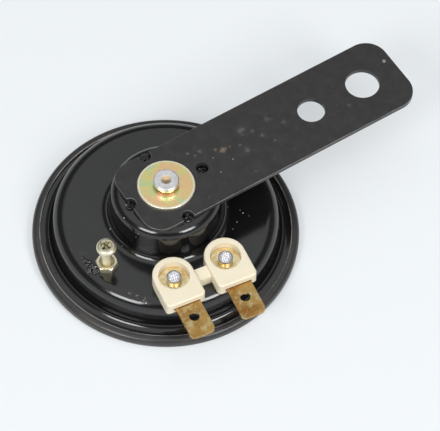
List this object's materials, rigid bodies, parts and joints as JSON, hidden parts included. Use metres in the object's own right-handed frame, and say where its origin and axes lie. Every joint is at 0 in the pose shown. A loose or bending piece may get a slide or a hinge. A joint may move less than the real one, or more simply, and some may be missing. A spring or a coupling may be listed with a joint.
{
  "type": "car horn",
  "caption": "Round disc horn with a stepped black pressed-steel housing, crimped rim, flat mounting strip, spade terminals and an adjusting screw.",
  "frame": {"origin": "centre of the main mounting hole, in the outer (clamping) face of the mounting strip", "axes": "+X along the mounting strip, away from the horn; +Z square to the strip, out of the horn's back; the horn lies front down, with its rim's plane at z = -21.2 mm"},
  "size_m": [0.0993, 0.0694, 0.0239],
  "materials": {
    "housing_paint": "gloss",
    "ring_paint": "satin",
    "strip_paint": "semi-gloss",
    "yellow_zinc": "iridescent passivate",
    "bright_steel": "plain zinc",
    "magnet_steel": "oiled",
    "spring_steel": "bright",
    "terminal_brass": "stained",
    "copper_wire": "enamelled",
    "cream_plastic": "satin",
    "nylon": "natural",
    "phenolic": "sheared sheet",
    "gasket_board": "pressed fibre"
  },
  "bodies": {
    "horn_body": {"front_ring": "ring_paint", "gasket_front": "gasket_board", "gasket_rear": "gasket_board", "rear_housing": "housing_paint", "mounting_bracket": "strip_paint", "stud_washer": "yellow_zinc", "pole_core": "bright_steel", "coil_bobbin": "nylon", "coil_winding": "copper_wire", "coil_cushion": "gasket_board", "pole_plate": "magnet_steel", "breaker_insulator_upper": "phenolic", "breaker_insulator_middle": "phenolic", "breaker_insulator_lower": "phenolic", "breaker_clamp_plate": "bright_steel", "breaker_rivet_inner": "bright_steel", "breaker_rivet_outer": "bright_steel", "moving_contact_arm": "spring_steel", "fixed_contact_arm": "spring_steel", "adjuster_pad": "phenolic", "adjusting_screw": "bright_steel", "adjusting_lock_nut": "yellow_zinc", "diaphragm": "spring_steel", "terminal_block": "cream_plastic", "terminal_insulator": "phenolic", "terminal_blade_left": "terminal_brass", "terminal_blade_right": "terminal_brass", "terminal_lug_left": "terminal_brass", "terminal_lug_right": "terminal_brass", "terminal_rivet_left": "bright_steel", "terminal_rivet_right": "bright_steel"},
    "vibrating_set": {"armature": "magnet_steel", "armature_pusher": "phenolic", "tone_disc_spacer": "bright_steel", "tone_disc": "ring_paint", "tone_disc_washer": "bright_steel"}
  },
  "joints": [
    {"name": "armature_stroke", "type": "slide", "parent": "horn_body", "child": "vibrating_set", "axis": [0, 0, 1], "range_m": [-0.0002, 0.0005], "stiffness_N_per_m": 20000, "deforming": ["diaphragm", "moving_contact_arm"]}
  ]
}
